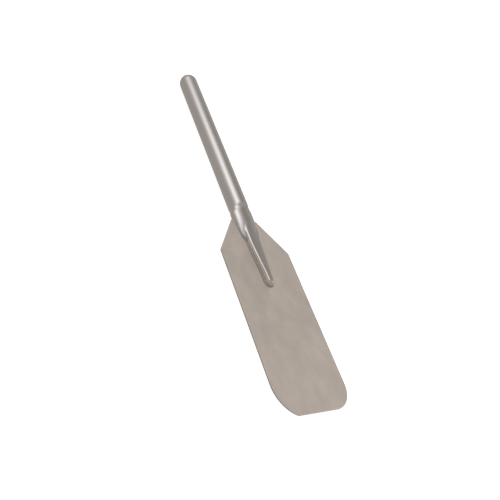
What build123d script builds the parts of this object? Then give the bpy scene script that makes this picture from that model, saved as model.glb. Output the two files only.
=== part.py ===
from build123d import *
import math
import os

# A mortar mixing paddle, all stainless steel: a flat sheet blade on a straight tube handle.
# The lower end of the tube is slit, pushed over the blade, pressed down on both of its faces
# into a tapering ridge with a rounded nose, and welded all round. A domed cap closes the top.
#
# Frame: millimetres, the blade level and face up (+Z), the handle pointing to +Y, and the
# origin under the middle of the whole paddle, on the surface that the tube lies on.

# --- the whole paddle ---
overall_length = 610.0

# --- blade: sheet steel ---
blade_length = 297.0
blade_width = 125.0
blade_thickness = 2.0
blade_top_width = 44.6
shoulder_length = 56.5
shoulder_corner_radius = 2.5
top_corner_radius = 1.5
# The bottom corners differ: one is a plain quarter round, the other a longer and flatter
# round that meets the bottom edge at a slight angle.
quarter_corner_radius = 31.0
long_corner_radius = 48.0
long_corner_rise = 43.0
blade_edge_round = 0.4

# --- handle: round tube ---
tube_diameter = 30.0
tube_wall = 1.2

# --- pressed end of the tube; places are measured from the top edge of the blade ---
# Going down, the tube is squeezed flat over a short length, stays flat past the top of the
# blade, and then narrows to a rib with steep sides and a rounded nose.
press_start = 25.0
press_end = 16.0
flat_width = 36.6
flat_height = 23.0
flat_reach = 10.0
flat_end_width = 35.0
flat_end_height = 19.2
knee_reach = 33.0
knee_width = 23.0
knee_height = 18.6
rib_reach = 60.0
rib_width = 17.6
rib_height = 17.2
ridge_reach = 116.0
nose_width = 11.6
nose_height = 18.0
nose_round = 4.5
nose_steps = 3
# An outline across the handle is a superellipse: power 2 is round, and more has flatter sides
# and a flatter crest.
flat_power = 2.0
rib_power = 2.5
outline_points = 12

# --- slit for the blade ---
slit_face_clearance = 0.1
slit_end_clearance = 0.5

# --- weld beads ---
seam_weld_width = 2.4
seam_weld_rise = 2.0
seam_weld_power = 3.0
cap_weld_depth = 0.9
cap_weld_proud = 0.1

# --- domed cap ---
cap_wall = 1.5
cap_spigot_length = 9.0
cap_fit_clearance = 0.1

# --- places worked out from the sizes above ---
tube_radius = tube_diameter / 2
bore_radius = tube_radius - tube_wall
axis_height = tube_radius
tube_axis = Axis((0, 0, axis_height), (0, 1, 0))
cap_seam = overall_length / 2 - tube_radius
blade_bottom = -overall_length / 2
blade_top = blade_bottom + blade_length
shoulder_end = blade_top - shoulder_length
blade_side = blade_width / 2
press_start_y = blade_top + press_start
nose_start_y = blade_top - ridge_reach + nose_round

# Stations down the handle, each its y, half width, half height and outline power.
round_section = (press_start_y, tube_radius, tube_radius, flat_power)
upper_flat_section = (blade_top + press_end, flat_width / 2, flat_height / 2, flat_power)
flat_end_section = (blade_top - flat_reach, flat_end_width / 2, flat_end_height / 2, flat_power)
knee_section = (blade_top - knee_reach, knee_width / 2, knee_height / 2, flat_power)
rib_section = (blade_top - rib_reach, rib_width / 2, rib_height / 2, rib_power)
nose_section = (nose_start_y, nose_width / 2, nose_height / 2, rib_power)
sections_on_blade = [flat_end_section, knee_section, rib_section]

os.makedirs("parts", exist_ok=True)


def cross_plane(y):
    """The plane across the handle at y, with its own x along X and its own y along Z."""
    return Plane(origin=(0, y, axis_height), x_dir=(1, 0, 0), z_dir=(0, -1, 0))


def lengthwise_plane(y):
    """The plane along the handle at y, with its own x along Y and its own y along Z."""
    return Plane(origin=(0, y, axis_height), x_dir=(0, 1, 0), z_dir=(1, 0, 0))


def outline(half_width, half_height, power):
    """Points round a superellipse, counted from its side."""
    points = []
    for i in range(outline_points):
        angle = 2 * math.pi * i / outline_points
        across = math.copysign(abs(math.cos(angle)) ** (2 / power), math.cos(angle))
        up = math.copysign(abs(math.sin(angle)) ** (2 / power), math.sin(angle))
        points.append((half_width * across, half_height * up))
    return points


def tapered_body(stations):
    """A solid with straight sides from each station's outline to the next one's."""
    with BuildPart() as body:
        for y, half_width, half_height, power in stations:
            with BuildSketch(cross_plane(y)):
                if half_width == half_height and power == flat_power:
                    Circle(half_width)
                else:
                    with BuildLine():
                        Spline(*outline(half_width, half_height, power), periodic=True)
                    make_face()
        loft(ruled=True)
    return body.part


def drawn_in(section, inset):
    """The section with its outline drawn in all round."""
    y, half_width, half_height, power = section
    return y, half_width - inset, half_height - inset, power


def rounded_end(section, radius, drop):
    """Stations that carry the section on by the radius, along a quarter round.

    The width draws in by the radius on each side, and the height by the drop.
    """
    y, half_width, half_height, power = section
    stations = []
    for i in range(nose_steps + 1):
        turn = math.pi / 2 * i / nose_steps
        fall = 1 - math.cos(turn)
        stations.append(
            (y - radius * math.sin(turn), half_width - radius * fall, half_height - drop * fall, power))
    return stations


# --- blade ---
long_corner_turn = math.asin(long_corner_rise / long_corner_radius)
long_corner_run = long_corner_radius * (1 - math.cos(long_corner_turn))

with BuildPart() as blade:
    with BuildSketch(Plane.XY.offset(axis_height - blade_thickness / 2)) as blade_outline:
        with BuildLine():
            top_edge = Line((-blade_top_width / 2, blade_top), (blade_top_width / 2, blade_top))
            right_shoulder = Line(top_edge @ 1, (blade_side, shoulder_end))
            right_side = Line(right_shoulder @ 1, (blade_side, blade_bottom + quarter_corner_radius))
            quarter_corner = TangentArc(
                right_side @ 1, (blade_side - quarter_corner_radius, blade_bottom), tangent=(0, -1))
            bottom_edge = Line(quarter_corner @ 1, (-blade_side + long_corner_run, blade_bottom))
            left_side = Line((-blade_side, blade_bottom + long_corner_rise), (-blade_side, shoulder_end))
            TangentArc(left_side @ 0, bottom_edge @ 1, tangent=(0, -1))
            Line(left_side @ 1, top_edge @ 0)
        make_face()
        top_corners = blade_outline.vertices().group_by(Axis.Y)[-1]
        shoulder_corners = blade_outline.vertices().group_by(Axis.Y)[-2]
        fillet(top_corners, top_corner_radius)
        fillet(shoulder_corners, shoulder_corner_radius)
    extrude(amount=blade_thickness)
    faces_by_height = blade.faces().sort_by(Axis.Z)
    fillet(faces_by_height[0].edges() + faces_by_height[-1].edges(), blade_edge_round)
blade.part.label = "blade"
export_step(blade.part, "parts/blade.step")

# --- ring weld between the tube and its cap, lying in a groove that is cut into both ---
groove_half_width = cap_weld_depth + cap_weld_proud

with BuildPart() as cap_weld:
    with BuildSketch(lengthwise_plane(cap_seam)):
        with BuildLine():
            Polyline(
                (-groove_half_width, tube_radius + cap_weld_proud),
                (0, tube_radius - cap_weld_depth),
                (groove_half_width, tube_radius + cap_weld_proud),
                close=True)
        make_face()
    revolve(axis=tube_axis)
cap_weld.part.label = "cap_weld"
export_step(cap_weld.part, "parts/cap_weld.step")

# --- domed cap: a hollow half ball with a spigot that fits the bore of the tube ---
spigot_radius = bore_radius - cap_fit_clearance
cap_inner_radius = spigot_radius - cap_wall

with BuildPart() as end_cap:
    with BuildSketch(lengthwise_plane(cap_seam)):
        with BuildLine():
            outer_dome = CenterArc((0, 0), tube_radius, 0, 90)
            inner_dome = CenterArc((0, 0), cap_inner_radius, 0, 90)
            Line(inner_dome @ 0, outer_dome @ 0)
            Polyline(
                outer_dome @ 1,
                (0, spigot_radius),
                (-cap_spigot_length, spigot_radius),
                (-cap_spigot_length, cap_inner_radius),
                inner_dome @ 1)
        make_face()
    revolve(axis=tube_axis)
    add(cap_weld.part, mode=Mode.SUBTRACT)
end_cap.part.label = "end_cap"
export_step(end_cap.part, "parts/end_cap.step")

# --- handle tube: round above, pressed below, hollow all the way, and slit for the blade ---
ridge_body = tapered_body([
    round_section,
    upper_flat_section,
    *sections_on_blade,
    *rounded_end(nose_section, nose_round, nose_round),
])
ridge_hollow = tapered_body([
    (press_start_y, bore_radius, bore_radius, flat_power),
    drawn_in(upper_flat_section, tube_wall),
    *[drawn_in(section, tube_wall) for section in sections_on_blade],
    drawn_in(nose_section, tube_wall),
])
slit_top = blade_top + slit_end_clearance
slit_gap = blade_thickness + 2 * slit_face_clearance
round_length = cap_seam - press_start_y

with BuildPart() as handle_tube:
    add(ridge_body)
    with BuildSketch(cross_plane(cap_seam)):
        Circle(tube_radius)
    extrude(amount=round_length)
    add(ridge_hollow, mode=Mode.SUBTRACT)
    with BuildSketch(cross_plane(cap_seam)):
        Circle(bore_radius)
    extrude(amount=round_length, mode=Mode.SUBTRACT)
    with BuildSketch(Plane.XY.offset(axis_height - slit_gap / 2)):
        with Locations((0, (slit_top + blade_bottom) / 2)):
            Rectangle(blade_width, slit_top - blade_bottom)
    extrude(amount=slit_gap, mode=Mode.SUBTRACT)
    add(cap_weld.part, mode=Mode.SUBTRACT)
handle_tube.part.label = "handle_tube"
export_step(handle_tube.part, "parts/handle_tube.step")

# --- seam welds: on each face of the blade, one bead all round the foot of the ridge ---
bead_half_height = blade_thickness / 2 + seam_weld_rise
narrowing = (flat_width - flat_end_width) / 2
share_at_top = press_end / (press_end + flat_reach)
half_width_at_top = flat_width / 2 - share_at_top * narrowing


def bead_station(y, half_width):
    """The bead's section where the ridge is this wide."""
    return y, half_width + seam_weld_width, bead_half_height, seam_weld_power


bead_body = tapered_body([
    bead_station(blade_top, half_width_at_top),
    *[bead_station(y, half_width) for y, half_width, *_ in sections_on_blade],
    *rounded_end(
        bead_station(nose_start_y, nose_width / 2), nose_round + seam_weld_width, seam_weld_rise),
])

for name, side, keep in (("front_weld", 1, Keep.TOP), ("back_weld", -1, Keep.BOTTOM)):
    with BuildPart() as seam_weld:
        add(bead_body)
        add(ridge_body, mode=Mode.SUBTRACT)
        split(bisect_by=Plane.XY.offset(axis_height + side * blade_thickness / 2), keep=keep)
    seam_weld.part.label = name
    export_step(seam_weld.part, f"parts/{name}.step")
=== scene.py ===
"""Looks of a stainless steel mortar mixing paddle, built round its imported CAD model.

The paddle lies face up along Y. Each part of it is a class that works its surfaces out as whole
arrays and dresses them in a steel finish. Lengths are metres throughout.
"""

import logging
import math
from dataclasses import dataclass, field
from enum import Enum

import bpy
import numpy as np
from mathutils import Matrix, Vector


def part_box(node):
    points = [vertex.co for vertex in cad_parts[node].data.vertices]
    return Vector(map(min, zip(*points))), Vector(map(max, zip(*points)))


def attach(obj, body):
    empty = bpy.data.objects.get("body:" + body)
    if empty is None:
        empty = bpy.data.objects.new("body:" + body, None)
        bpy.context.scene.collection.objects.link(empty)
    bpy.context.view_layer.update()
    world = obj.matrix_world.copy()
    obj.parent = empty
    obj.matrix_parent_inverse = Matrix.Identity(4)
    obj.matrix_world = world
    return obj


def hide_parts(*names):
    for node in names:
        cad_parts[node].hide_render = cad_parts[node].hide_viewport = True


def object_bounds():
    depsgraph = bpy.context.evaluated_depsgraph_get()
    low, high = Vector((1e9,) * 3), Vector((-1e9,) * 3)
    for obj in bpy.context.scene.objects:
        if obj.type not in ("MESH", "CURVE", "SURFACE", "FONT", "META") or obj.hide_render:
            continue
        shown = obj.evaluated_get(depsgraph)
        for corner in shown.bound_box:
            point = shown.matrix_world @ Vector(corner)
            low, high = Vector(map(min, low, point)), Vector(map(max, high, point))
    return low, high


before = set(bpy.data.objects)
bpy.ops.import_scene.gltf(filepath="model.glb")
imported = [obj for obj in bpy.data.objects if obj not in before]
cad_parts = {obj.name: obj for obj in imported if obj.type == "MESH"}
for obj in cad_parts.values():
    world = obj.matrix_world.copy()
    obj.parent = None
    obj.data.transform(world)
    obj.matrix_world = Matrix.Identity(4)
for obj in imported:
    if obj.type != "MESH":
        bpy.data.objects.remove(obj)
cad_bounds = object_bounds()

MM = 0.001
BODY = "root"
# Name of the blade's attribute that marks where painted shade darkens its side edges.
PAINTED_EDGE_SHADE = "painted_edge_shade"
BUMP_HEIGHT = 0.4 * MM
CORNER_STEPS = 9
LATHE_STEPS = 96

log = logging.getLogger("paddle")


# ---------------------------------------------------------------------------------------------
# Mesh making
# ---------------------------------------------------------------------------------------------


def grid_quads(index: np.ndarray) -> np.ndarray:
    """Quads between neighbouring entries of a 2-D array of vertex numbers.

    The corners run (row, column), (row + 1, column), (row + 1, column + 1), (row, column + 1),
    so a grid whose rows run down and whose columns run right faces its viewer.

    Args:
        index: vertex numbers, one row of the array for each row of the grid.

    Returns:
        An array of quads, four vertex numbers each.
    """
    corners = (index[:-1, :-1], index[1:, :-1], index[1:, 1:], index[:-1, 1:])
    return np.stack([c.ravel() for c in corners], axis=1)


def closed(index: np.ndarray) -> np.ndarray:
    """The array with its first column repeated at the end, which joins a ring up."""
    return np.concatenate([index, index[:, :1]], axis=1)


@dataclass
class Shell:
    """Points and faces that are gathered and then made one mesh object."""

    name: str
    points: list[np.ndarray] = field(default_factory=list)
    faces: list[np.ndarray] = field(default_factory=list)
    count: int = 0

    def add_points(self, points: np.ndarray) -> np.ndarray:
        """Adds an array of points and gives their vertex numbers, in the array's own shape.

        Args:
            points: any array whose last axis holds x, y and z.

        Returns:
            The vertex numbers, shaped like the array without its last axis.
        """
        flat = points.reshape(-1, 3)
        index = np.arange(self.count, self.count + len(flat)).reshape(points.shape[:-1])
        self.points.append(flat)
        self.count += len(flat)
        return index

    def add_faces(self, faces: np.ndarray) -> None:
        """Adds quads or triangles, given as rows of vertex numbers."""
        self.faces.append(faces)

    def add_fan(self, ring: np.ndarray, centre: np.ndarray) -> None:
        """Closes a ring of vertices to one point, as triangles.

        Args:
            ring: the ring's vertex numbers, in order.
            centre: the point that they meet in.
        """
        tip = self.add_points(centre.reshape(1, 3))[0]
        after = np.roll(ring, -1)
        self.add_faces(np.stack([ring, after, np.full_like(ring, tip)], axis=1))

    def build(self, crease_degrees: float = 32.0) -> bpy.types.Object:
        """Makes the object, smooth but for edges that are sharper than the angle.

        Args:
            crease_degrees: edges between faces that meet at more than this stay sharp.

        Returns:
            The new object, at the origin.
        """
        mesh = bpy.data.meshes.new(self.name)
        faces = [tuple(f) for block in self.faces for f in block.tolist()]
        mesh.from_pydata(np.concatenate(self.points).tolist(), [], faces)
        mesh.validate()
        mesh.shade_smooth()
        mesh.set_sharp_from_angle(angle=math.radians(crease_degrees))
        piece = bpy.data.objects.new(self.name, mesh)
        bpy.context.scene.collection.objects.link(piece)
        return piece


# ---------------------------------------------------------------------------------------------
# Steel finishes
# ---------------------------------------------------------------------------------------------


class GrainRun(Enum):
    """Which way the polishing lines run, as the pattern's scale along X, Y and Z."""

    LENGTHWISE = (1.0, 0.03, 1.0)
    EVEN = (1.0, 1.0, 1.0)


@dataclass(frozen=True)
class SteelFinish:
    """A procedural stainless steel: colour, polishing grain, smudges, fine scratches and, where asked,
    painted shade on marked edges.

    Specks, finer than the smudges, and the grain are mixed into the smudges by their shares. The
    middle stretch of that mix is what shades the colour and swings the roughness.
    """

    name: str
    colour: tuple[float, float, float]
    roughness: float
    grain: GrainRun
    grain_per_metre: float = 900.0
    grain_depth: float = 0.05
    smudge_per_metre: float = 22.0
    smudge_stretch: tuple[float, float, float] = (1.0, 0.6, 1.0)
    smudge_shade: float = 0.06
    speck_fineness: float = 9.0
    speck_share: float = 0.3
    grain_share: float = 0.25
    shade_stretch: tuple[float, float] = (0.3, 0.7)
    roughness_swing: float = 0.06
    scratch_depth: float = 0.04
    scratch_per_metre: float = 120.0
    scratch_stretch: tuple[float, float, float] = (1.0, 0.08, 1.0)
    scratch_turn_degrees: float = 17.0
    scratch_width: float = 0.012
    # How strongly painted shade darkens the edges that the blade's attribute marks.
    painted_shade_strength: float = 0.0

    def build(self) -> bpy.types.Material:
        """Builds the node tree.

        Returns:
            The material.
        """
        material = bpy.data.materials.new(self.name)
        material.use_nodes = True
        tree = material.node_tree
        tree.nodes.clear()
        output = tree.nodes.new("ShaderNodeOutputMaterial")
        shader = tree.nodes.new("ShaderNodeBsdfPrincipled")
        shader.inputs["Metallic"].default_value = 1.0
        tree.links.new(shader.outputs["BSDF"], output.inputs["Surface"])
        place = tree.nodes.new("ShaderNodeTexCoord").outputs["Object"]

        smudge = self._noise(tree, place, self.smudge_stretch, self.smudge_per_metre, 5.0, 0.6)
        speck_per_metre = self.smudge_per_metre * self.speck_fineness
        speck = self._noise(tree, place, GrainRun.EVEN.value, speck_per_metre, 3.0, 0.55)
        grain = self._noise(tree, place, self.grain.value, self.grain_per_metre, 3.0, 0.65)
        scratch = self._scratches(tree, place)

        shade = self._mix(tree, smudge, speck, self.speck_share)
        shade = self._mix(tree, shade, grain, self.grain_share)
        darkest = 1.0 - self.smudge_shade
        lightest = 1.0 + self.smudge_shade
        tint = self._span(tree, shade, *self.shade_stretch, darkest, lightest)
        # Painted shade: the colour is darkened where the blade's attribute marks its side edges.
        if self.painted_shade_strength:
            edge_shade_mask = tree.nodes.new("ShaderNodeAttribute")
            edge_shade_mask.attribute_name = PAINTED_EDGE_SHADE
            kept = self._span(tree, edge_shade_mask.outputs["Fac"], 0.0, 1.0, 1.0, 1.0 - self.painted_shade_strength)
            tint = self._math(tree, "MULTIPLY", tint, kept)
        colour = tree.nodes.new("ShaderNodeVectorMath")
        colour.operation = "SCALE"
        colour.inputs[0].default_value = self.colour
        tree.links.new(tint, colour.inputs["Scale"])
        tree.links.new(colour.outputs["Vector"], shader.inputs["Base Color"])

        smoothest = self.roughness - self.roughness_swing
        roughest = self.roughness + self.roughness_swing
        rough = self._span(tree, shade, *self.shade_stretch, smoothest, roughest)
        tree.links.new(rough, shader.inputs["Roughness"])

        first = self._bump(tree, grain, self.grain_depth, None)
        second = self._bump(tree, scratch, self.scratch_depth, first)
        tree.links.new(second, shader.inputs["Normal"])
        return material

    def _noise(
        self,
        tree: bpy.types.NodeTree,
        place: bpy.types.NodeSocket,
        stretch: tuple[float, float, float],
        per_metre: float,
        detail: float,
        roughness: float,
    ) -> bpy.types.NodeSocket:
        """A fractal noise on the piece's own coordinates.

        Args:
            tree: the material's node tree.
            place: the coordinates.
            stretch: the pattern's scale along each axis.
            per_metre: how many cells of the pattern go in a metre.
            detail: the number of finer layers.
            roughness: how strong those layers are.

        Returns:
            The noise value, from 0 to 1.
        """
        mapping = tree.nodes.new("ShaderNodeMapping")
        mapping.inputs["Scale"].default_value = stretch
        noise = tree.nodes.new("ShaderNodeTexNoise")
        noise.inputs["Scale"].default_value = per_metre
        noise.inputs["Detail"].default_value = detail
        noise.inputs["Roughness"].default_value = roughness
        tree.links.new(place, mapping.inputs["Vector"])
        tree.links.new(mapping.outputs["Vector"], noise.inputs["Vector"])
        return noise.outputs["Fac"]

    def _scratches(
        self, tree: bpy.types.NodeTree, place: bpy.types.NodeSocket
    ) -> bpy.types.NodeSocket:
        """Sparse hairline scratches: thin bands where a stretched, turned noise crosses one half.

        Args:
            tree: the material's node tree.
            place: the coordinates.

        Returns:
            The surface's height, 0 in the middle of a scratch and 1 off it.
        """
        mapping = tree.nodes.new("ShaderNodeMapping")
        mapping.inputs["Rotation"].default_value[2] = math.radians(self.scratch_turn_degrees)
        mapping.inputs["Scale"].default_value = self.scratch_stretch
        noise = tree.nodes.new("ShaderNodeTexNoise")
        noise.inputs["Scale"].default_value = self.scratch_per_metre
        noise.inputs["Detail"].default_value = 1.0
        tree.links.new(place, mapping.inputs["Vector"])
        tree.links.new(mapping.outputs["Vector"], noise.inputs["Vector"])
        offset = self._math(tree, "SUBTRACT", noise.outputs["Fac"], 0.5)
        distance = self._math(tree, "ABSOLUTE", offset, 0.0)
        return self._span(tree, distance, 0.0, self.scratch_width, 0.0, 1.0)

    @staticmethod
    def _math(
        tree: bpy.types.NodeTree,
        operation: str,
        value: bpy.types.NodeSocket,
        other: bpy.types.NodeSocket | float,
    ) -> bpy.types.NodeSocket:
        """One Math node.

        Args:
            tree: the material's node tree.
            operation: the node's operation.
            value: its first value.
            other: its second value, a socket or a number.

        Returns:
            The result's socket.
        """
        node = tree.nodes.new("ShaderNodeMath")
        node.operation = operation
        tree.links.new(value, node.inputs[0])
        if isinstance(other, bpy.types.NodeSocket):
            tree.links.new(other, node.inputs[1])
        else:
            node.inputs[1].default_value = other
        return node.outputs["Value"]

    @staticmethod
    def _mix(
        tree: bpy.types.NodeTree,
        first: bpy.types.NodeSocket,
        second: bpy.types.NodeSocket,
        share: float,
    ) -> bpy.types.NodeSocket:
        """The first value with a share of the second one.

        Args:
            tree: the material's node tree.
            first: the value that is kept where the share is 0.
            second: the value mixed in.
            share: how much of it, from 0 to 1.

        Returns:
            The mixed value's socket.
        """
        node = tree.nodes.new("ShaderNodeMix")
        node.inputs["Factor"].default_value = share
        tree.links.new(first, node.inputs["A"])
        tree.links.new(second, node.inputs["B"])
        return node.outputs["Result"]

    @staticmethod
    def _span(
        tree: bpy.types.NodeTree,
        value: bpy.types.NodeSocket,
        low: float,
        high: float,
        to_low: float,
        to_high: float,
    ) -> bpy.types.NodeSocket:
        """The value's stretch from low to high, carried over to another stretch and clamped.

        Args:
            tree: the material's node tree.
            value: the value.
            low: where its stretch starts.
            high: where it ends.
            to_low: what low becomes.
            to_high: what high becomes.

        Returns:
            The new value's socket.
        """
        node = tree.nodes.new("ShaderNodeMapRange")
        node.inputs["From Min"].default_value = low
        node.inputs["From Max"].default_value = high
        node.inputs["To Min"].default_value = to_low
        node.inputs["To Max"].default_value = to_high
        tree.links.new(value, node.inputs["Value"])
        return node.outputs["Result"]

    @staticmethod
    def _bump(
        tree: bpy.types.NodeTree,
        height: bpy.types.NodeSocket,
        depth: float,
        below: bpy.types.NodeSocket | None,
    ) -> bpy.types.NodeSocket:
        """A bump of the height, over another bump where there is one.

        Args:
            tree: the material's node tree.
            height: the height's socket.
            depth: the bump's strength.
            below: the normal of the bump under this one, or None.

        Returns:
            The bumped normal's socket.
        """
        node = tree.nodes.new("ShaderNodeBump")
        node.inputs["Strength"].default_value = depth
        node.inputs["Distance"].default_value = BUMP_HEIGHT
        tree.links.new(height, node.inputs["Height"])
        if below is not None:
            tree.links.new(below, node.inputs["Normal"])
        return node.outputs["Normal"]


# The blade's colour is lighter than the tube's, though both are one steel: painted light, standing in
# for the soft key light that the satin sheet catches.
BLADE_STEEL = SteelFinish(
    "blade_satin_steel", (0.825, 0.741, 0.660), 0.55, GrainRun.EVEN,
    grain_depth=0.03, smudge_per_metre=42.0, smudge_shade=0.13, roughness_swing=0.06,
    # Painted shade on the sheet's side edges, at most half as dark.
    scratch_depth=0.03, painted_shade_strength=0.5)
TUBE_STEEL = SteelFinish(
    "tube_polished_steel", (0.605, 0.555, 0.51), 0.24, GrainRun.LENGTHWISE,
    grain_depth=0.03, smudge_shade=0.05, roughness_swing=0.03, scratch_depth=0.02)
# The weld's darker colour is partly its own duller tone and partly painted shade along the foot of the
# ridge.
WELD_STEEL = SteelFinish(
    "weld_ground_steel", (0.37, 0.32, 0.28), 0.55, GrainRun.EVEN,
    grain_per_metre=1400.0, grain_depth=0.08, smudge_per_metre=60.0, smudge_shade=0.08)


# ---------------------------------------------------------------------------------------------
# The paddle
# ---------------------------------------------------------------------------------------------


def place_piece(piece: bpy.types.Object, finish: bpy.types.Material, node: str) -> None:
    """Dresses a piece, sets it on the paddle's body and lets it stand for its CAD node.

    Args:
        piece: the finished mesh object.
        finish: its material.
        node: the CAD node that it replaces.
    """
    piece.data.materials.append(finish)
    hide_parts(node)
    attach(piece, BODY)
    log.info("%s: %d faces, stands for %s", piece.name, len(piece.data.polygons), node)


def rounded(before: np.ndarray, corner: np.ndarray, after: np.ndarray, radius: float) -> np.ndarray:
    """Points of the arc that rounds a corner between two straight lines.

    The arc touches each line at radius times the tangent of half the turn from the corner, and
    its centre lies off the first touching point by the radius, square to the first line.

    Args:
        before: a point on the line that comes in.
        corner: the sharp corner.
        after: a point on the line that goes out.
        radius: the arc's radius.

    Returns:
        The points, as rows of x and y.
    """
    into = (corner - before) / np.linalg.norm(corner - before)
    out = (after - corner) / np.linalg.norm(after - corner)
    turn = math.acos(float(into @ out))
    bend = math.copysign(1.0, into[0] * out[1] - into[1] * out[0])
    inward = bend * np.array([-into[1], into[0]])
    start = corner - into * radius * math.tan(turn / 2)
    angle = np.linspace(0.0, turn, CORNER_STEPS)[:, None]
    return start + radius * (np.sin(angle) * into + (1.0 - np.cos(angle)) * inward)


@dataclass
class Blade:
    """The sheet: sloping shoulders, straight sides and two different bottom corners."""

    top_width: float = 44.6 * MM
    shoulder_length: float = 56.5 * MM
    top_round: float = 1.5 * MM
    shoulder_round: float = 2.5 * MM
    quarter_radius: float = 31.0 * MM
    long_radius: float = 48.0 * MM
    long_rise: float = 43.0 * MM
    edge_round: float = 0.45 * MM
    bow: float = 0.12 * MM
    rows: int = 220
    columns: int = 70
    arc_steps: int = 60
    edge_steps: int = 5

    def __post_init__(self) -> None:
        """Takes the sheet's outer sizes from its CAD node."""
        low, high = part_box("blade")
        self.side = high.x
        self.bottom = low.y
        self.top = high.y
        self.middle = (low.z + high.z) / 2
        self.half_thickness = (high.z - low.z) / 2

    def side_line(self, radius: float, turn: float) -> np.ndarray:
        """One side of the outline, from the top corner down to the bottom edge, for x above 0.

        A straight shoulder with rounded corners, a straight side and an arc of the radius through
        the turn, evenly spaced along their length.

        Args:
            radius: the bottom corner's radius.
            turn: how far its arc turns, in radians.

        Returns:
            The points, as rows of x and y.
        """
        rise = radius * math.sin(turn)
        angle = np.linspace(0.0, turn, self.arc_steps)[:, None]
        arc = np.concatenate([
            self.side - radius + radius * np.cos(angle),
            self.bottom + rise - radius * np.sin(angle)], axis=1)
        middle = np.array([0.0, self.top])
        top = np.array([self.top_width / 2, self.top])
        corner = np.array([self.side, self.top - self.shoulder_length])
        line = np.concatenate([
            rounded(middle, top, corner, self.top_round),
            rounded(top, corner, arc[0], self.shoulder_round),
            arc])
        along = np.concatenate([[0.0], np.cumsum(np.linalg.norm(np.diff(line, axis=0), axis=1))])
        even = np.linspace(0.0, along[-1], self.rows)
        return np.stack([np.interp(even, along, line[:, i]) for i in (0, 1)], axis=1)

    def outline(self) -> np.ndarray:
        """Joins the left line, the bottom row, the right line reversed and the top row in a ring.

        Returns:
            The ring as rows of x and y, anticlockwise seen from above, from the top left corner.
        """
        right = self.side_line(self.quarter_radius, math.pi / 2)
        left = self.side_line(self.long_radius, math.asin(self.long_rise / self.long_radius))
        left = left * (-1.0, 1.0)
        across = np.linspace(0.0, 1.0, self.columns)[1:-1, None]
        bottom_row = left[-1] + across * (right[-1] - left[-1])
        top_row = right[0] + across * (left[0] - right[0])
        return np.concatenate([left, bottom_row, right[::-1], top_row])

    def ripple(self, x: np.ndarray, y: np.ndarray) -> np.ndarray:
        """The sheet's slight bow: a sum of three long sine waves of x and y.

        Args:
            x: places across the blade.
            y: places along it.

        Returns:
            The height over a flat sheet at each place.
        """
        return self.bow * (
            0.5 * np.sin(x * 38.0 + 0.7) * np.cos(y * 17.0)
            + 0.3 * np.sin(y * 31.0 + x * 22.0 + 1.9)
            + 0.2 * np.cos(x * 71.0 - y * 43.0))

    def build(self) -> bpy.types.Object:
        """Two faces, each a grid between the left and right lines, and a rounded edge between.

        The edge is a quarter round, a short wall and a quarter round, carried along the outline:
        a point of it stands off the outline by (sine - 1) of its angle times the edge radius. The
        side edges get painted shade in the finish, by the square of how far they face sideways;
        the bottom edge gets none.

        Returns:
            The blade's mesh object.
        """
        ring = self.outline()
        tangent = np.roll(ring, -1, axis=0) - np.roll(ring, 1, axis=0)
        outward = np.stack([tangent[:, 1], -tangent[:, 0]], axis=1)
        outward /= np.linalg.norm(outward, axis=1, keepdims=True)

        angle = np.linspace(0.0, math.pi / 2, self.edge_steps)
        offset = self.edge_round * (np.sin(angle) - 1.0)
        height = self.half_thickness - self.edge_round * (1.0 - np.cos(angle))
        offset = np.concatenate([offset, offset[::-1]])
        height = np.concatenate([height, -height[::-1]])

        shell = Shell("paddle_blade")
        flat = ring[None] + offset[:, None, None] * outward[None]
        edge = np.concatenate(
            [flat, np.broadcast_to(height[:, None, None], flat.shape[:2] + (1,))], axis=2)
        edge[..., 2] += self.middle + self.ripple(edge[..., 0], edge[..., 1])
        edge_index = shell.add_points(edge)
        shell.add_faces(grid_quads(closed(edge_index)))

        self._add_face(shell, edge[0], edge_index[0], True)
        self._add_face(shell, edge[-1], edge_index[-1], False)
        piece = shell.build()
        # Painted shade on the side edges: the square of how far each edge point faces sideways, none
        # on the bottom edge.
        edge_shade_mask = np.zeros(len(piece.data.vertices))
        edge_shade_mask[edge_index[2:-2]] = outward[:, 0] ** 2
        piece.data.attributes.new(PAINTED_EDGE_SHADE, "FLOAT", "POINT").data.foreach_set("value", edge_shade_mask)
        return piece

    def _add_face(self, shell: Shell, rim: np.ndarray, rim_index: np.ndarray, up: bool) -> None:
        """Fills a rim with a grid whose rows run straight from its left line to its right one.

        Args:
            shell: the mesh being gathered.
            rim: the rim's points.
            rim_index: their vertex numbers.
            up: whether the face looks up.
        """
        rows, columns = self.rows, self.columns
        right_start = rows + columns - 2
        right_end = right_start + rows
        index = np.empty((rows, columns), int)
        index[:, 0] = rim_index[:rows]
        index[-1, 1:-1] = rim_index[rows:right_start]
        index[:, -1] = rim_index[right_start:right_end][::-1]
        index[0, 1:-1] = rim_index[right_end:][::-1]
        left = rim[:rows]
        right = rim[right_start:right_end][::-1]
        share = np.linspace(0.0, 1.0, columns)[None, 1:-1, None]
        inner = left[1:-1, None] + share * (right[1:-1, None] - left[1:-1, None])
        side = 1.0 if up else -1.0
        inner[..., 2] = (
            self.middle + side * self.half_thickness + self.ripple(inner[..., 0], inner[..., 1]))
        index[1:-1, 1:-1] = shell.add_points(inner)
        quads = grid_quads(index)
        shell.add_faces(quads if up else quads[:, ::-1])


@dataclass(frozen=True)
class Station:
    """Half sizes of the pressed tube at one place: its flattened sides and the rib on them."""

    below_top: float
    side_width: float
    side_height: float
    rib_width: float
    rib_height: float
    rib_power: float


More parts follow.
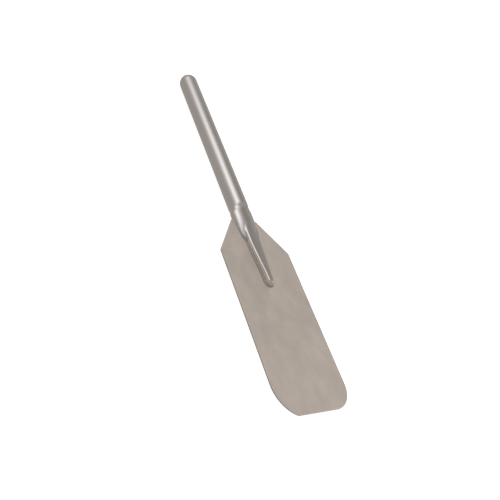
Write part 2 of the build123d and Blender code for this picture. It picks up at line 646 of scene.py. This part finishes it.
@dataclass
class PressedEnd:
    """How the tube's section changes along its pressed end.

    A section is the larger, softly joined, of two ellipses: the flattened tube, wide and low, and
    the rib, narrow and tall. Their half sizes run straight from station to station, eased a
    little, and the nose draws both in along a rounded end.
    """

    top: float
    tip: float
    axis_height: float
    nose_length: float = 8.0 * MM
    nose_power: float = 2.4
    ease: float = 2.8 * MM
    ease_samples: int = 9
    soft_join: float = 2.6 * MM
    join_fade: float = 2.0 * MM
    least_join: float = 0.02
    least_half_width: float = 0.05 * MM
    dense: int = 361
    stations: tuple[Station, ...] = (
        Station(-23.0 * MM, 15.0 * MM, 15.0 * MM, 8.0 * MM, 8.0 * MM, 2.6),
        Station(-18.0 * MM, 15.6 * MM, 12.2 * MM, 8.5 * MM, 8.2 * MM, 2.6),
        Station(-12.0 * MM, 18.3 * MM, 11.4 * MM, 9.0 * MM, 8.5 * MM, 2.6),
        Station(0.0 * MM, 18.1 * MM, 11.2 * MM, 9.0 * MM, 8.6 * MM, 2.6),
        Station(10.0 * MM, 17.5 * MM, 10.1 * MM, 9.8 * MM, 8.6 * MM, 2.6),
        Station(20.0 * MM, 16.5 * MM, 8.1 * MM, 10.3 * MM, 8.5 * MM, 3.4),
        Station(31.0 * MM, 14.6 * MM, 4.8 * MM, 10.6 * MM, 8.8 * MM, 4.4),
        Station(44.0 * MM, 10.0 * MM, 1.8 * MM, 10.6 * MM, 8.8 * MM, 4.8),
        Station(60.0 * MM, 7.6 * MM, 1.4 * MM, 9.0 * MM, 8.5 * MM, 4.8),
        Station(80.0 * MM, 6.0 * MM, 1.4 * MM, 7.2 * MM, 8.7 * MM, 4.8),
        Station(95.0 * MM, 4.6 * MM, 1.4 * MM, 6.0 * MM, 9.0 * MM, 4.4),
        Station(116.0 * MM, 4.0 * MM, 1.4 * MM, 5.6 * MM, 8.8 * MM, 2.6),
    )

    def _along(self, y: np.ndarray, name: str) -> np.ndarray:
        """One half size: straight between the stations, as a mean over the ease's length.

        Args:
            y: the places along the handle.
            name: the station's field.

        Returns:
            The size at each place.
        """
        places = [self.top - station.below_top for station in self.stations][::-1]
        sizes = [getattr(station, name) for station in self.stations][::-1]
        near = np.linspace(-self.ease, self.ease, self.ease_samples)
        return np.interp(y[..., None] + near, places, sizes).mean(axis=-1)

    def closing(self, y: np.ndarray) -> np.ndarray:
        """How far the nose has drawn in at y: 1 before the nose, 0 at its tip.

        It is the square root of 1 - share ^ power, of the share of the nose that is passed.
        """
        return np.sqrt(1.0 - self.nose_share(y) ** self.nose_power)

    def nose_share(self, y: np.ndarray) -> np.ndarray:
        """The share of the nose's length that is passed at y: 0 before it, 1 at the tip."""
        return np.clip((self.tip + self.nose_length - y) / self.nose_length, 0.0, 1.0)

    def _powers(self, y: np.ndarray) -> dict[str, np.ndarray]:
        """The curves' powers at y: 2 for the flattened sides, and the rib's own."""
        return {"side": np.full_like(y, 2.0), "rib": self._along(y, "rib_power")}

    def reach(self, y: np.ndarray, height: float) -> np.ndarray:
        """Half the ridge's width at a height over its middle plane, or 0 where it is lower.

        It is the larger of the two curves' half widths there, each the half width times
        (1 - (height / half height) ^ power) ^ (1 / power).

        Args:
            y: the places along the handle.
            height: the height over the middle plane.

        Returns:
            The half width at each place.
        """
        widths = []
        for part, power in self._powers(y).items():
            top = np.maximum(self._along(y, part + "_height") * self.closing(y), 1e-6)
            inside = np.clip(1.0 - (height / top) ** power, 0.0, 1.0)
            width = self._along(y, part + "_width") * self.closing(y)
            widths.append(width * inside ** (1.0 / power))
        return np.maximum(*widths)

    def _curve(self, x: np.ndarray, y: np.ndarray, part: str, inset: float) -> np.ndarray:
        """One curve's height over x: half height * (1 - |x / half width| ^ power) ^ (1 / power).

        Args:
            x: the places across, a row for each y.
            y: the places along the handle.
            part: "side" for the flattened tube, "rib" for the rib.
            inset: how far the curve is drawn in.

        Returns:
            The heights, shaped like x.
        """
        close = self.closing(y)
        power = self._powers(y)[part][:, None]
        width = self._along(y, part + "_width") * close - inset
        width = np.maximum(width, self.least_half_width)[:, None]
        tall = np.maximum(self._along(y, part + "_height") * close - inset, 0.0)[:, None]
        inside = np.clip(1.0 - np.abs(x / width) ** power, 0.0, 1.0)
        return tall * inside ** (1.0 / power)

    def surface(
        self, y: np.ndarray, turn: np.ndarray, gap: float, inset: float, side: float
    ) -> np.ndarray:
        """Points of the upper or lower half of the tube's skin.

        Each row of the grid is one y, and the columns are spaced evenly along the section, from
        its +X edge to its -X edge. The soft join is a polynomial maximum: within its reach, the
        two heights are mixed and lifted by join * h * (1 - h) of the mixing share h. It fades
        close to the slit. An inner skin also starts its tip further back, by the inset.

        Args:
            y: the places along the handle.
            turn: shares of the way over, from 0 to 1.
            gap: the height of the slit between the halves.
            inset: how far inside the outer skin this skin lies.
            side: 1 for the upper half and -1 for the lower half.

        Returns:
            The points, shaped rows by columns by 3.
        """
        close = self.closing(y)
        width = np.maximum(self._along(y, "side_width"), self._along(y, "rib_width")) * close
        angle = np.linspace(0.0, math.pi, self.dense)
        x = np.maximum(width - inset, self.least_half_width)[:, None] * np.cos(angle)
        side_z = self._curve(x, y, "side", inset)
        rib_z = self._curve(x, y, "rib", inset)
        clear = (np.maximum(side_z, rib_z) - gap / 2) / self.join_fade
        join = self.soft_join * np.clip(clear, self.least_join, 1.0)
        share = np.clip(0.5 + 0.5 * (rib_z - side_z) / join, 0.0, 1.0)
        z = side_z + share * (rib_z - side_z) + join * share * (1.0 - share)
        z = np.maximum(z, gap / 2)

        step = np.hypot(np.diff(x, axis=1), np.diff(z, axis=1))
        along = np.concatenate([np.zeros((len(y), 1)), np.cumsum(step, axis=1)], axis=1)
        # Each row's lengths run from its row number to just short of the next, so that one
        # interpolation serves all the rows.
        along /= along[:, -1:] * (1.0 + 1e-9)
        row = np.arange(len(y))[:, None]
        want = (row + turn[None] * (1.0 - 2e-9)).ravel()
        shape = (len(y), len(turn))
        x = np.interp(want, (row + along).ravel(), x.ravel()).reshape(shape)
        z = np.interp(want, (row + along).ravel(), z.ravel()).reshape(shape)
        place = np.broadcast_to((y + inset * self.nose_share(y))[:, None], shape)
        return np.stack([x, place, self.axis_height + side * z], axis=2)


@dataclass
class HandleTube:
    """The tube: round above, slit and pressed over the blade below, with a real wall."""

    pressed: PressedEnd
    seam: float
    slit_gap: float = 2.2 * MM
    slit_clearance: float = 0.5 * MM
    wall: float = 1.2 * MM
    columns: int = 96
    round_rows: int = 24
    press_rows: int = 50
    slit_rows: int = 140
    nose_rows: int = 28
    nose_open: float = 0.999

    def stations(self) -> tuple[np.ndarray, int]:
        """Spaces the rows: wide on the round tube, close on the press, crowding to the tip as a sine.

        Returns:
            The rows' places, from the cap's seam down to the tip, and the first row in the slit.
        """
        press_top = self.pressed.top - self.pressed.stations[0].below_top + 2 * self.pressed.ease
        slit_top = self.pressed.top + self.slit_clearance
        nose = self.pressed.tip + self.pressed.nose_length
        quarter = np.linspace(0.0, math.pi / 2, self.nose_rows)[1:]
        rows = [
            np.linspace(self.seam, press_top, self.round_rows, endpoint=False),
            np.linspace(press_top, slit_top, self.press_rows, endpoint=False),
            np.linspace(slit_top, nose, self.slit_rows),
            nose - self.pressed.nose_length * np.sin(quarter) * self.nose_open,
        ]
        return np.concatenate(rows), len(rows[0]) + len(rows[1])

    def build(self) -> bpy.types.Object:
        """An outer and an inner skin, each an upper and a lower half, joined at every rim.

        Returns:
            The tube's mesh object.
        """
        y, slit_row = self.stations()
        turn = np.linspace(0.0, 1.0, self.columns)
        shell = Shell("paddle_handle_tube")
        skins = []
        for inset in (0.0, self.wall):
            upper = shell.add_points(self.pressed.surface(y, turn, self.slit_gap, inset, 1.0))
            lower = shell.add_points(self.pressed.surface(y, turn, self.slit_gap, inset, -1.0))
            skins.append((upper, lower[:, ::-1]))
        (upper, lower), (upper_in, lower_in) = skins

        whole = slice(0, slit_row + 1)
        slit = slice(slit_row, None)
        for skin, inner in ((upper, False), (lower, False), (upper_in, True), (lower_in, True)):
            self._add(shell, skin, inner)
        for one, other, inner in ((upper, lower, False), (upper_in, lower_in, True)):
            self._add(shell, np.stack([one[whole, -1], other[whole, 0]], axis=1), inner)
            self._add(shell, np.stack([other[whole, -1], one[whole, 0]], axis=1), inner)

        ring = np.concatenate([upper[0], lower[0]])
        ring_in = np.concatenate([upper_in[0], lower_in[0]])
        self._add(shell, closed(np.stack([ring_in, ring])), False)
        for skin, skin_in in ((upper, upper_in), (lower, lower_in)):
            self._add(shell, np.stack([skin_in[slit, 0], skin[slit, 0]], axis=1), False)
            self._add(shell, np.stack([skin[slit, -1], skin_in[slit, -1]], axis=1), False)
            self._add(shell, np.stack([skin[-1], skin_in[-1]]), False)
        for right, left, right_in, left_in in (
            (upper[:, 0], lower[:, -1], upper_in[:, 0], lower_in[:, -1]),
            (lower[:, 0], upper[:, -1], lower_in[:, 0], upper_in[:, -1]),
        ):
            outer_pair = [left[slit_row], right[slit_row]]
            inner_pair = [left_in[slit_row], right_in[slit_row]]
            self._add(shell, np.array([outer_pair, inner_pair]), False)
        return shell.build()

    @staticmethod
    def _add(shell: Shell, index: np.ndarray, inner: bool) -> None:
        """Adds a grid of quads whose rows run down the handle.

        Args:
            shell: the mesh being gathered.
            index: the grid's vertex numbers.
            inner: whether it is an inner skin. All others have their quads reversed.
        """
        quads = grid_quads(index)
        shell.add_faces(quads if inner else quads[:, ::-1])


def lathe(name: str, profile: np.ndarray, axis_height: float) -> Shell:
    """A solid of revolution about the handle's axis, from a closed profile.

    A point of it is (radius times cosine, y, axis height plus radius times sine) of its turn.

    Args:
        name: the piece's name.
        profile: rows of y and radius, in a ring.
        axis_height: the height of the axis.

    Returns:
        The gathered shell, closed both ways round.
    """
    angle = np.linspace(0.0, 2 * math.pi, LATHE_STEPS, endpoint=False)
    y, radius = profile[:, 0][:, None], profile[:, 1][:, None]
    x = radius * np.cos(angle)
    z = axis_height + radius * np.sin(angle)
    shell = Shell(name)
    index = closed(shell.add_points(np.stack([x, np.broadcast_to(y, x.shape), z], axis=2)))
    shell.add_faces(grid_quads(np.concatenate([index, index[:1]])))
    return shell


@dataclass
class EndCap:
    """The domed cap: a hollow half ball with a spigot in the tube's bore."""

    radius: float
    seam: float
    axis_height: float
    spigot_radius: float = 13.7 * MM
    inner_radius: float = 12.2 * MM
    spigot_length: float = 9.0 * MM
    pole: float = 0.05 * MM
    arc_steps: int = 40

    def dome(self, radius: float) -> np.ndarray:
        """A quarter circle: (seam + radius times sine, radius times cosine) of its angle."""
        angle = np.linspace(0.0, math.pi / 2, self.arc_steps)
        return np.stack([self.seam + radius * np.sin(angle), radius * np.cos(angle)], axis=1)

    def build(self) -> bpy.types.Object:
        """Lathes the outer quarter circle, the inner one and the spigot, in one ring.

        Returns:
            The cap's mesh object.
        """
        outer = self.dome(self.radius)
        inner = self.dome(self.inner_radius)
        outer[-1, 1] = inner[-1, 1] = self.pole
        spigot = np.array([
            [self.seam - self.spigot_length, self.inner_radius],
            [self.seam - self.spigot_length, self.spigot_radius],
            [self.seam, self.spigot_radius]])
        profile = np.concatenate([outer, inner[::-1], spigot])
        return lathe("paddle_end_cap", profile, self.axis_height).build()


@dataclass
class CapWeld:
    """The ring weld at the cap, ground almost flush."""

    radius: float
    seam: float
    axis_height: float
    half_width: float = 1.0 * MM
    depth: float = 0.9 * MM
    proud: float = 0.03 * MM
    arch_steps: int = 9

    def build(self) -> bpy.types.Object:
        """Lathes a low arch over the seam, proud * (1 - share ^ 2), and a V down into the groove.

        Returns:
            The ring weld's mesh object.
        """
        share = np.linspace(-1.0, 1.0, self.arch_steps)[:, None]
        arch = np.concatenate(
            [self.seam - share * self.half_width, self.radius + self.proud * (1.0 - share**2)], axis=1)
        foot = np.array([[self.seam, self.radius - self.depth]])
        return lathe("paddle_cap_weld", np.concatenate([foot, arch])[::-1], self.axis_height).build()


@dataclass
class SeamWeld:
    """The bead round the foot of the ridge on one face of the blade, ground to a hollow fillet."""

    pressed: PressedEnd
    face: float
    side: float
    name: str
    width: float = 1.6 * MM
    rib_width: float = 3.4 * MM
    rib_start: float = 70.0 * MM
    rib_end: float = 9.0 * MM
    nose_width: float = 1.2 * MM
    rise: float = 1.6 * MM
    sink: float = 0.3 * MM
    toe_sink: float = 0.02 * MM
    root_depth: float = 0.4 * MM
    root_rise: float = 0.9
    hollow_out: float = 0.35
    hollow_rise: float = 0.25
    start_inset: float = 0.5 * MM
    ripple: float = 0.05 * MM
    ripple_pitch: float = 2.1 * MM
    steps: int = 10
    count: int = 420
    flank_places: int = 220
    nose_places: int = 120
    crease_degrees: float = 50.0

    def foot(self, height: float) -> np.ndarray:
        """The ridge's outline at a height over its middle plane, from +X round the tip to -X.

        Args:
            height: the height over the middle plane.

        Returns:
            The outline, as rows of x and y.
        """
        nose = self.pressed.tip + self.pressed.nose_length
        start = self.pressed.top - self.start_inset
        down = np.linspace(start, nose, self.flank_places, endpoint=False)
        quarter = np.linspace(0.0, math.pi / 2, self.nose_places)
        y = np.concatenate([down, nose - self.pressed.nose_length * np.sin(quarter)])
        x = self.pressed.reach(y, height)
        last = np.argmax(x <= 0.0) if np.any(x <= 0.0) else len(y) - 1
        x, y = x[:last + 1], y[:last + 1]
        return np.stack([np.concatenate([x, -x[-2::-1]]), np.concatenate([y, y[-2::-1]])], axis=1)

    @staticmethod
    def even(line: np.ndarray, count: int) -> np.ndarray:
        """Spaces a line's points evenly along its length.

        Args:
            line: rows of x and y.
            count: how many points to give.

        Returns:
            The new points, as rows of x and y.
        """
        along = np.concatenate([[0.0], np.cumsum(np.linalg.norm(np.diff(line, axis=0), axis=1))])
        places = np.linspace(0.0, along[-1], count)
        return np.stack([np.interp(places, along, line[:, i]) for i in (0, 1)], axis=1)

    def build(self) -> bpy.types.Object:
        """A hollow fillet: a quadratic curve from the ridge's flank, by its foot, to the blade.

        The bead is wider along the rib, and its toe waves in and out by a cosine of its length.

        Returns:
            The bead's mesh object.
        """
        foot = self.even(self.foot(self.face), self.count)
        flank = self.even(self.foot(self.face + self.rise), self.count)
        tangent = np.gradient(foot, axis=0)
        outward = np.stack([-tangent[:, 1], tangent[:, 0]], axis=1)
        outward /= np.linalg.norm(outward, axis=1, keepdims=True)
        along = np.cumsum(np.linalg.norm(tangent, axis=1))
        wave = self.ripple * np.cos(along / self.ripple_pitch * 2 * math.pi)[:, None]
        tip, top = self.pressed.tip, self.pressed.top
        places = (tip, tip + self.rib_end, top - self.rib_start, top)
        widths = (self.nose_width, self.rib_width, self.rib_width, self.width)
        width = np.interp(foot[:, 1:], places, widths)
        toe = foot + outward * (width + wave)
        base = foot - outward * self.root_depth
        inner = flank - outward * self.root_depth

        share = np.linspace(0.0, 1.0, self.steps)[:, None, None]
        hold = foot + outward * self.hollow_out * width
        plan = (1 - share) ** 2 * flank + 2 * share * (1 - share) * hold + share**2 * toe
        hold_rise = self.hollow_rise * self.rise
        level = (1 - share) ** 2 * self.rise + 2 * share * (1 - share) * hold_rise
        level = level - self.toe_sink * share
        height = np.broadcast_to(level, plan.shape[:2] + (1,))
        curve = np.concatenate([plan, height], axis=2)
        sunk = np.full((self.count, 1), -self.sink)
        root = np.full((self.count, 1), self.rise * self.root_rise)
        below = np.stack([
            np.concatenate([toe, sunk], axis=1),
            np.concatenate([base, sunk], axis=1),
            np.concatenate([inner, root], axis=1)])
        ring = np.concatenate([curve, below])
        ring[..., 2] = self.pressed.axis_height + self.side * (self.face + ring[..., 2])

        shell = Shell(self.name)
        index = shell.add_points(ring)
        round_index = np.concatenate([index, index[:1]])
        quads = grid_quads(round_index)
        ends = ring.mean(axis=0)
        first, last = index[:, 0], index[:, -1]
        shell.add_faces(quads[:, ::-1] if self.side > 0 else quads)
        shell.add_fan(first[::-1] if self.side < 0 else first, ends[0])
        shell.add_fan(last if self.side < 0 else last[::-1], ends[-1])
        return shell.build(self.crease_degrees)


# ---------------------------------------------------------------------------------------------
# Floor, light and camera
# ---------------------------------------------------------------------------------------------


@dataclass(frozen=True)
class Glow:
    """A soft bright or dark region of the surround: exp(tightness * (cosine - 1)) * strength."""

    direction: tuple[float, float, float]
    strength: float
    tightness: float

    def build(
        self, tree: bpy.types.NodeTree, look: bpy.types.NodeSocket, base: float
    ) -> bpy.types.NodeSocket:
        """Builds its nodes: a dot product, a fall from it, its exponent and the strength.

        Args:
            tree: the surround's node tree.
            look: the direction looked in.
            base: an even brightness that is added to the glow.

        Returns:
            The brightness in that direction.
        """
        dot = tree.nodes.new("ShaderNodeVectorMath")
        dot.operation = "DOT_PRODUCT"
        dot.inputs[1].default_value = Vector(self.direction).normalized()
        tree.links.new(look, dot.inputs[0])
        fall = self._scaled(tree, dot.outputs["Value"], self.tightness, -self.tightness)
        power = tree.nodes.new("ShaderNodeMath")
        power.operation = "EXPONENT"
        tree.links.new(fall, power.inputs[0])
        return self._scaled(tree, power.outputs["Value"], self.strength, base)

    @staticmethod
    def _scaled(
        tree: bpy.types.NodeTree, value: bpy.types.NodeSocket, scale: float, plus: float
    ) -> bpy.types.NodeSocket:
        """The value times a scale, plus a number.

        Args:
            tree: the surround's node tree.
            value: the value.
            scale: what it is multiplied by.
            plus: what is added.

        Returns:
            The result's socket.
        """
        node = tree.nodes.new("ShaderNodeMath")
        node.operation = "MULTIPLY_ADD"
        tree.links.new(value, node.inputs[0])
        node.inputs[1].default_value = scale
        node.inputs[2].default_value = plus
        return node.outputs["Value"]


@dataclass
class Studio:
    """A plain pale floor, a soft studio surround, one small light and the camera."""

    floor_size: float = 12.0
    floor_gap: float = 0.2 * MM
    floor_colour: tuple[float, float, float, float] = (0.90, 0.90, 0.90, 1.0)
    floor_roughness: float = 0.9
    floor_emission: float = 0.75
    surround: float = 0.49
    surround_tint: tuple[float, float, float] = (1.0, 0.985, 0.97)
    key: Glow = Glow((-0.42, 0.50, 0.776), 1.25, 15.0)
    key_tint: tuple[float, float, float] = (0.97, 1.04, 1.16)
    shade: Glow = Glow((0.48, 0.47, 0.74), -0.18, 22.0)
    light_size: float = 0.2
    light_power: float = 0.8
    light_target: tuple[float, float, float] = (0.0, -0.1, 0.02)
    light_direction: tuple[float, float, float] = (0.80, -0.30, 0.52)
    light_distance: float = 1.5
    camera_place: tuple[float, float, float] = (-0.5182, -0.4493, 0.5152)
    camera_right: tuple[float, float, float] = (0.7773, -0.3229, 0.5399)
    camera_down: tuple[float, float, float] = (0.0588, -0.8172, -0.5733)
    sensor: float = 36.0
    lens: float = 41.16

    def build(self) -> None:
        """Makes the floor, the surround, the light and the camera."""
        self._floor()
        self._surround()
        self._side_light()
        self._camera()

    def _floor(self) -> None:
        """One large square just under the paddle, in matt white that glows a little."""
        half = self.floor_size / 2
        level = cad_bounds[0][2] - self.floor_gap
        shell = Shell("studio_floor")
        corners = np.array([[[-half, half, level], [half, half, level]],
                            [[-half, -half, level], [half, -half, level]]])
        shell.add_faces(grid_quads(shell.add_points(corners)))
        floor = shell.build()
        material = bpy.data.materials.new("studio_floor_white")
        material.use_nodes = True
        shader = material.node_tree.nodes["Principled BSDF"]
        shader.inputs["Base Color"].default_value = self.floor_colour
        shader.inputs["Roughness"].default_value = self.floor_roughness
        shader.inputs["Emission Color"].default_value = (1.0, 1.0, 1.0, 1.0)
        shader.inputs["Emission Strength"].default_value = self.floor_emission
        floor.data.materials.append(material)
        floor.visible_glossy = False

    def _surround(self) -> None:
        """An even grey surround with a darker region, and a cooler soft key glow added to it."""
        world = bpy.data.worlds.new("studio_surround")
        world.use_nodes = True
        tree = world.node_tree
        tree.nodes.clear()
        look = tree.nodes.new("ShaderNodeTexCoord").outputs["Generated"]
        both = tree.nodes.new("ShaderNodeAddShader")
        parts = ((self.shade, self.surround, self.surround_tint), (self.key, 0.0, self.key_tint))
        for place, (glow, base, tint) in enumerate(parts):
            background = tree.nodes.new("ShaderNodeBackground")
            background.inputs["Color"].default_value = (*tint, 1.0)
            tree.links.new(glow.build(tree, look, base), background.inputs["Strength"])
            tree.links.new(background.outputs["Background"], both.inputs[place])
        output = tree.nodes.new("ShaderNodeOutputWorld")
        tree.links.new(both.outputs["Shader"], output.inputs["Surface"])
        bpy.context.scene.world = world

    def _side_light(self) -> None:
        """A small square light, low on the +X side, that catches the rib's nose."""
        data = bpy.data.lights.new("side_light", "AREA")
        data.shape = "SQUARE"
        data.size = self.light_size
        data.energy = self.light_power
        light = bpy.data.objects.new("side_light", data)
        away = Vector(self.light_direction).normalized()
        light.location = Vector(self.light_target) + away * self.light_distance
        light.rotation_euler = away.to_track_quat("Z", "Y").to_euler()
        bpy.context.scene.collection.objects.link(light)

    def _camera(self) -> None:
        """The camera, rolled so that the handle points to the upper left."""
        data = bpy.data.cameras.new("camera")
        data.sensor_width = self.sensor
        data.lens = self.lens
        data.dof.use_dof = False
        right = Vector(self.camera_right).normalized()
        up = -Vector(self.camera_down)
        up = (up - right * up.dot(right)).normalized()
        turn = Matrix((right, up, right.cross(up))).transposed().to_4x4()
        camera = bpy.data.objects.new("camera", data)
        camera.matrix_world = Matrix.Translation(self.camera_place) @ turn
        bpy.context.scene.collection.objects.link(camera)
        bpy.context.scene.camera = camera


def main() -> None:
    """Builds the paddle part by part, then the studio."""
    logging.basicConfig(level=logging.INFO, format="%(name)s: %(message)s")
    bpy.context.scene.view_settings.view_transform = "Standard"
    blade_steel = BLADE_STEEL.build()
    tube_steel = TUBE_STEEL.build()
    weld_steel = WELD_STEEL.build()

    blade = Blade()
    tube_low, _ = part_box("handle_tube")
    _, cap_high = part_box("end_cap")
    radius = blade.middle
    seam = cap_high.y - radius
    pressed = PressedEnd(top=blade.top, tip=tube_low.y, axis_height=blade.middle)

    place_piece(blade.build(), blade_steel, "blade")
    place_piece(HandleTube(pressed, seam).build(), tube_steel, "handle_tube")
    place_piece(EndCap(radius, seam, blade.middle).build(), tube_steel, "end_cap")
    place_piece(CapWeld(radius, seam, blade.middle).build(), tube_steel, "cap_weld")
    for node, side in (("front_weld", 1.0), ("back_weld", -1.0)):
        weld = SeamWeld(pressed, blade.half_thickness, side, "paddle_" + node)
        place_piece(weld.build(), weld_steel, node)

    Studio().build()


if __name__ == "__main__":
    main()
